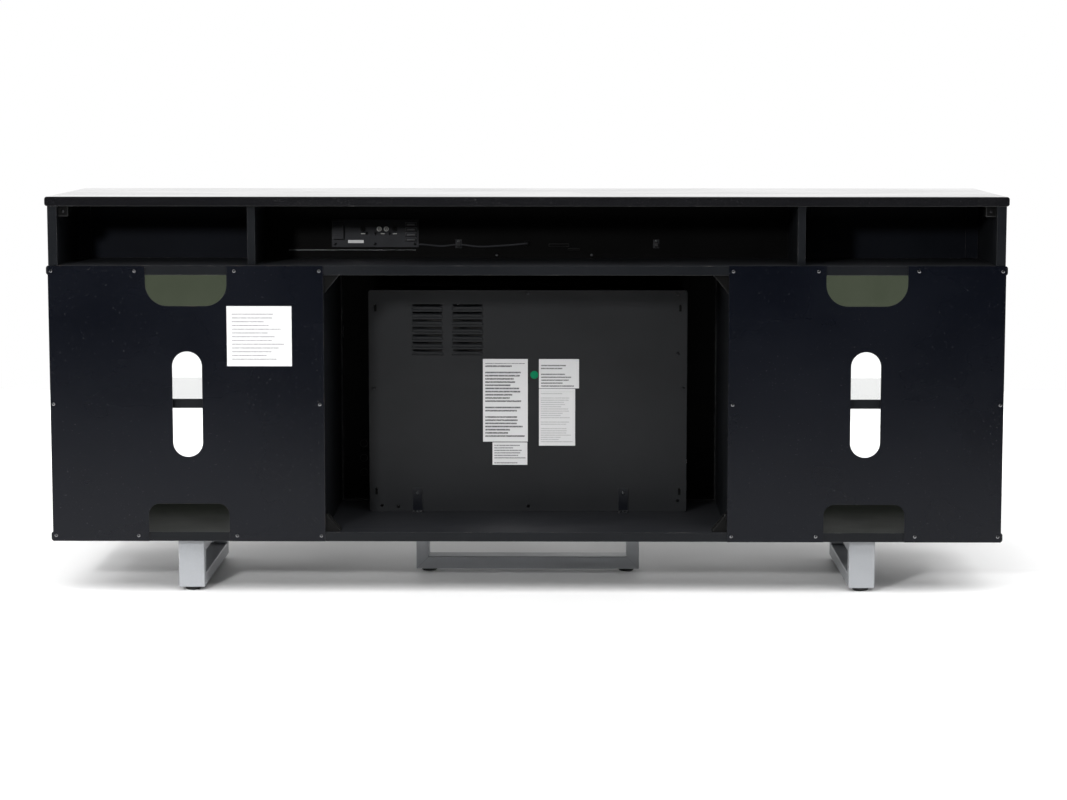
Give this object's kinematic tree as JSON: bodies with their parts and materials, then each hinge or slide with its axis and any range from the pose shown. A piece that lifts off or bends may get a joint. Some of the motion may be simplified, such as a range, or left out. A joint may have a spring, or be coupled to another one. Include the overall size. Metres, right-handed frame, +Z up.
{
  "type": "media cabinet",
  "caption": "Low black media cabinet on silver leg loops, open at the back, with glass-door side bays, an electric fireplace insert and a row of built-in speakers.",
  "frame": {"origin": "on the floor at the middle of the footprint", "axes": "+Z up, +X along the width, +Y out of the open back; the glass doors face -Y"},
  "size_m": [1.829, 0.42, 0.763],
  "materials": {
    "gloss_black_top": "high-gloss black lacquer on board",
    "satin_black_board": "satin black melamine on board",
    "back_board": "matte blue-black faced hardboard",
    "speaker_board": "matte black faced board",
    "grille_cloth": "open-weave black speaker cloth",
    "speaker_cone": "black pressed paper and rubber",
    "black_plastic": "fine-grained moulded black",
    "amplifier_plastic": "moulded charcoal black",
    "firebox_steel": "textured matte charcoal powder coat",
    "trim_steel": "semi-gloss black enamel",
    "window_glass": "clear polished glass",
    "flame_screen_plastic": "frosted translucent screen",
    "resin_log": "painted moulded resin bark and embers",
    "bright_metal": "bright rolled sheet",
    "button_plastic": "polished dark grey",
    "door_glass": "tempered glass, clear field with a smoked border",
    "pivot_steel": "brushed",
    "leg_silver": "satin silver powder coat",
    "foot_plastic": "moulded black"
  },
  "bodies": {
    "cabinet": {"top_panel": "gloss_black_top", "mid_panel": "satin_black_board", "bottom_panel": "satin_black_board", "amplifier": "amplifier_plastic", "soundbar_housing": "black_plastic", "soundbar_grille": "grille_cloth", "firebox_housing": "firebox_steel", "firebox_rear_cover": "firebox_steel", "firebox_trim": "trim_steel", "firebox_glass": "window_glass", "flame_screen": "flame_screen_plastic", "log_bed": "resin_log", "heater_box": "firebox_steel", "power_gland": "black_plastic", "leg_loop_middle": "leg_silver", "upper_side_left": "satin_black_board", "lower_side_left": "satin_black_board", "upper_divider_left": "satin_black_board", "lower_divider_left": "satin_black_board", "back_panel_left": "back_board", "shelf_left": "satin_black_board", "corner_brace_top_left": "black_plastic", "corner_brace_bottom_left": "black_plastic", "leg_loop_left": "leg_silver", "foot_front_left": "foot_plastic", "foot_rear_left": "foot_plastic", "foot_middle_left": "foot_plastic", "speaker_box_left": "speaker_board", "woofer_left": "speaker_cone", "grille_left": "grille_cloth", "soundbar_driver_left": "speaker_cone", "hold_down_bracket_left": "firebox_steel", "upper_side_right": "satin_black_board", "lower_side_right": "satin_black_board", "upper_divider_right": "satin_black_board", "lower_divider_right": "satin_black_board", "back_panel_right": "back_board", "shelf_right": "satin_black_board", "corner_brace_top_right": "black_plastic", "corner_brace_bottom_right": "black_plastic", "leg_loop_right": "leg_silver", "foot_front_right": "foot_plastic", "foot_rear_right": "foot_plastic", "foot_middle_right": "foot_plastic", "speaker_box_right": "speaker_board", "woofer_right": "speaker_cone", "grille_right": "grille_cloth", "soundbar_driver_right": "speaker_cone", "hold_down_bracket_right": "firebox_steel"},
    "door_left": {"door_glass_left": "door_glass", "door_pivot_bottom_left": "pivot_steel", "door_pivot_top_left": "pivot_steel"},
    "door_right": {"door_glass_right": "door_glass", "door_pivot_bottom_right": "pivot_steel", "door_pivot_top_right": "pivot_steel"},
    "button_power": {"button_power": "button_plastic"},
    "button_flame": {"button_flame": "button_plastic"},
    "button_heat": {"button_heat": "button_plastic"},
    "blower": {"blower_wheel": "bright_metal"},
    "flicker": {"flicker_rod": "bright_metal"}
  },
  "joints": [
    {"name": "door_left_hinge", "type": "hinge", "parent": "cabinet", "child": "door_left", "pos_m": [-0.9035, -0.2005, 0.3665], "axis": [0, 0, -1], "range_deg": [0, 100]},
    {"name": "door_right_hinge", "type": "hinge", "parent": "cabinet", "child": "door_right", "pos_m": [0.9035, -0.2005, 0.3665], "axis": [0, 0, 1], "range_deg": [0, 100]},
    {"name": "power_press", "type": "slide", "parent": "cabinet", "child": "button_power", "axis": [0, 1, 0], "range_m": [0, 0.0012], "stiffness_N_per_m": 600},
    {"name": "flame_press", "type": "slide", "parent": "cabinet", "child": "button_flame", "axis": [0, 1, 0], "range_m": [0, 0.0012], "stiffness_N_per_m": 600},
    {"name": "heat_press", "type": "slide", "parent": "cabinet", "child": "button_heat", "axis": [0, 1, 0], "range_m": [0, 0.0012], "stiffness_N_per_m": 600},
    {"name": "blower_spin", "type": "hinge", "parent": "cabinet", "child": "blower", "pos_m": [0, -0.1437, 0.5324], "axis": [1, 0, 0], "continuous": true},
    {"name": "flicker_spin", "type": "hinge", "parent": "cabinet", "child": "flicker", "pos_m": [0, -0.094, 0.2149], "axis": [1, 0, 0], "continuous": true}
  ]
}
